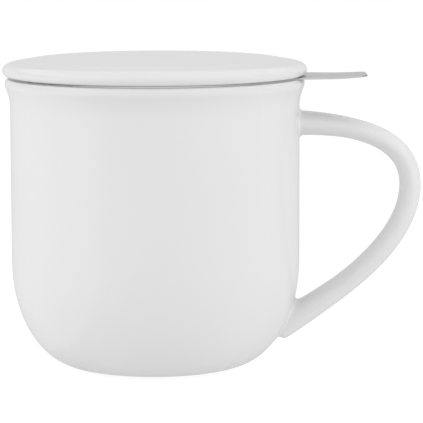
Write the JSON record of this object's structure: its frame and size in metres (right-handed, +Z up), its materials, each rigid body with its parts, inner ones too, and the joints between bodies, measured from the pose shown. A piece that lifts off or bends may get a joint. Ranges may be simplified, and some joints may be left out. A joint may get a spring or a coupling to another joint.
{
  "type": "tea mug with infuser",
  "caption": "Straight-sided porcelain tea mug with a leaning loop handle, a lift-out perforated steel infuser hung by a flange with a pull tab, and a loose flat lid.",
  "frame": {"origin": "centre of the foot ring, on the surface that the mug stands on", "axes": "+Z up along the mug's axis, +X towards the handle and the infuser's pull tab"},
  "size_m": [0.1315, 0.0956, 0.0969],
  "materials": {
    "glazed_porcelain": "white glossy glaze",
    "brushed_steel": "satin brushed stainless steel"
  },
  "bodies": {
    "mug": {"mug_body": "glazed_porcelain", "mug_handle": "glazed_porcelain"},
    "infuser": {"infuser_rim": "brushed_steel", "basket_wall": "brushed_steel", "basket_floor": "brushed_steel"},
    "lid": {"lid": "glazed_porcelain"}
  },
  "joints": [
    {"name": "infuser_lift", "type": "slide", "parent": "mug", "child": "infuser", "axis": [0, 0, 1], "range_m": [0, 0.085]},
    {"name": "lid_lift", "type": "slide", "parent": "infuser", "child": "lid", "axis": [0, 0, 1], "range_m": [0, 0.045]}
  ]
}
